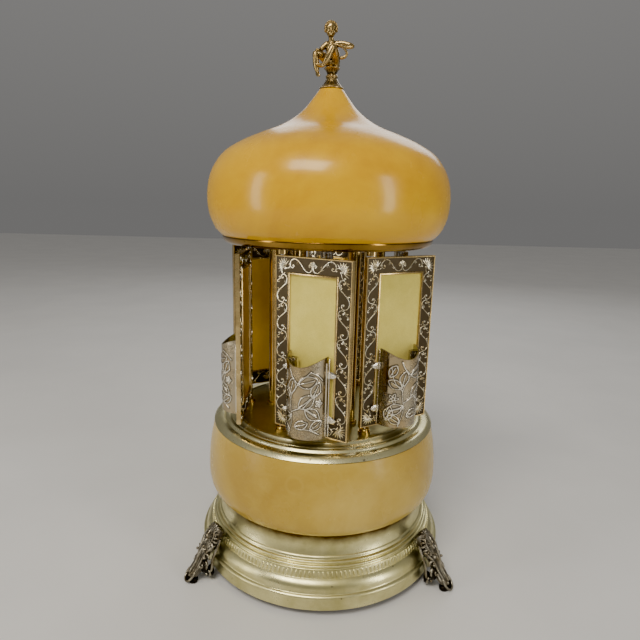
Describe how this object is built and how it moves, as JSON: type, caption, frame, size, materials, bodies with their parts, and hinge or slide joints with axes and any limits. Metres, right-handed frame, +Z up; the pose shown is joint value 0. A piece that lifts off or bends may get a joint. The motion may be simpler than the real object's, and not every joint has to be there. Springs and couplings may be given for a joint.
{
  "type": "carousel music box",
  "caption": "Onion-domed carousel music box: turning the dome swings its ring of framed doors with half-round holders open or shut over a round footed base.",
  "frame": {"origin": "centre of the surface it stands on, under the spindle", "axes": "+Z up along the spindle, -Y towards the front, +X to the right seen from the front"},
  "size_m": [0.165, 0.1564, 0.3234],
  "materials": {
    "champagne_brass": "brushed, lacquered, brown patina in the hollows",
    "dark_plate": "dull greenish tarnish",
    "faux_alabaster": "glossy marbled amber yellow",
    "turned_wood": "raw turned beech",
    "fibreboard": "dark pressed board",
    "old_pewter": "cast, oxidised hollows and worn bright edges",
    "steel": "bright steel",
    "pivot_steel": "ground steel",
    "polished_brass": "polished",
    "movement_brass": "matt rolled brass",
    "rim_brass": "tarnished polished brass",
    "antique_bronze": "cast, dark patina and rubbed highlights",
    "antique_silver": "stamped relief, blackened ground, worn gilt edges",
    "engraved_silver": "engraved sheet silver plate",
    "cream_felt": "flocked card",
    "golden_panel": "satin gold lacquer"
  },
  "bodies": {
    "stand": {"base_shell": "champagne_brass", "mounting_ring": "turned_wood", "bottom_cover": "fibreboard", "base_screws": "steel", "feet": "old_pewter", "belly_ring": "faux_alabaster", "platform_ring": "champagne_brass", "platform_plate": "dark_plate", "tie_rods": "steel", "pillars": "polished_brass", "pillar_nuts": "polished_brass", "top_plate": "dark_plate", "pivot_bushes": "polished_brass", "spindle_bushes": "polished_brass", "movement_plate": "movement_brass", "cylinder_frame": "movement_brass", "comb": "steel", "governor_frame": "movement_brass"},
    "dome": {"dome_shell": "faux_alabaster", "dome_rim": "rim_brass", "dome_spider": "steel", "sun_gear": "polished_brass", "spindle": "steel", "finial_urn": "antique_bronze", "cherub": "antique_bronze"},
    "key": {"winding_key": "steel"},
    "barrel": {"spring_barrel": "movement_brass"},
    "cylinder": {"pin_cylinder": "movement_brass"},
    "fan": {"governor_fan": "movement_brass"},
    "lever": {"stop_lever": "steel"},
    "door_1": {"door_frame_1": "antique_silver", "lining_1": "cream_felt", "panel_1": "golden_panel", "holder_1": "engraved_silver", "pivot_1": "pivot_steel"},
    "door_2": {"door_frame_2": "antique_silver", "lining_2": "cream_felt", "panel_2": "golden_panel", "holder_2": "engraved_silver", "pivot_2": "pivot_steel"},
    "door_3": {"door_frame_3": "antique_silver", "lining_3": "cream_felt", "panel_3": "golden_panel", "holder_3": "engraved_silver", "pivot_3": "pivot_steel"},
    "door_4": {"door_frame_4": "antique_silver", "lining_4": "cream_felt", "panel_4": "golden_panel", "holder_4": "engraved_silver", "pivot_4": "pivot_steel"},
    "door_5": {"door_frame_5": "antique_silver", "lining_5": "cream_felt", "panel_5": "golden_panel", "holder_5": "engraved_silver", "pivot_5": "pivot_steel"},
    "door_6": {"door_frame_6": "antique_silver", "lining_6": "cream_felt", "panel_6": "golden_panel", "holder_6": "engraved_silver", "pivot_6": "pivot_steel"}
  },
  "joints": [
    {"name": "dome_turn", "type": "hinge", "parent": "stand", "child": "dome", "pos_m": [0, 0, 0.15], "axis": [0, 0, 1], "range_deg": [0, 70]},
    {"name": "door_1_swing", "type": "hinge", "parent": "stand", "child": "door_1", "pos_m": [-0.024, -0.04157, 0.146], "axis": [0, 0, 1], "range_deg": [-210, 0]},
    {"name": "door_2_swing", "type": "hinge", "parent": "stand", "child": "door_2", "pos_m": [0.024, -0.04157, 0.146], "axis": [0, 0, 1], "range_deg": [-210, 0]},
    {"name": "door_3_swing", "type": "hinge", "parent": "stand", "child": "door_3", "pos_m": [0.048, 0, 0.146], "axis": [0, 0, 1], "range_deg": [-210, 0]},
    {"name": "door_4_swing", "type": "hinge", "parent": "stand", "child": "door_4", "pos_m": [0.024, 0.04157, 0.146], "axis": [0, 0, 1], "range_deg": [-210, 0]},
    {"name": "door_5_swing", "type": "hinge", "parent": "stand", "child": "door_5", "pos_m": [-0.024, 0.04157, 0.146], "axis": [0, 0, 1], "range_deg": [-210, 0]},
    {"name": "door_6_swing", "type": "hinge", "parent": "stand", "child": "door_6", "pos_m": [-0.048, 0, 0.146], "axis": [0, 0, 1], "range_deg": [-210, 0]},
    {"name": "key_wind", "type": "hinge", "parent": "stand", "child": "key", "pos_m": [0, 0, 0.01], "axis": [0, 0, 1], "continuous": true},
    {"name": "barrel_turn", "type": "hinge", "parent": "stand", "child": "barrel", "pos_m": [0, 0, 0.02], "axis": [0, 0, 1], "continuous": true},
    {"name": "cylinder_spin", "type": "hinge", "parent": "stand", "child": "cylinder", "pos_m": [0.027, 0, 0.0348], "axis": [1, 0, 0], "continuous": true},
    {"name": "fan_spin", "type": "hinge", "parent": "stand", "child": "fan", "pos_m": [0.03, -0.0135, 0.02], "axis": [0, 0, 1], "continuous": true},
    {"name": "lever_swing", "type": "hinge", "parent": "stand", "child": "lever", "pos_m": [0.024, -0.014, 0.087], "axis": [0, 0, 1], "range_deg": [0, 9]}
  ],
  "couplings": [
    {"joint": "door_1_swing", "follows": "dome_turn", "ratio": -3},
    {"joint": "door_2_swing", "follows": "dome_turn", "ratio": -3},
    {"joint": "door_3_swing", "follows": "dome_turn", "ratio": -3},
    {"joint": "door_4_swing", "follows": "dome_turn", "ratio": -3},
    {"joint": "door_5_swing", "follows": "dome_turn", "ratio": -3},
    {"joint": "door_6_swing", "follows": "dome_turn", "ratio": -3},
    {"joint": "cylinder_spin", "follows": "barrel_turn", "ratio": 4},
    {"joint": "fan_spin", "follows": "barrel_turn", "ratio": 16},
    {"joint": "lever_swing", "follows": "dome_turn", "ratio": 0.12857}
  ]
}
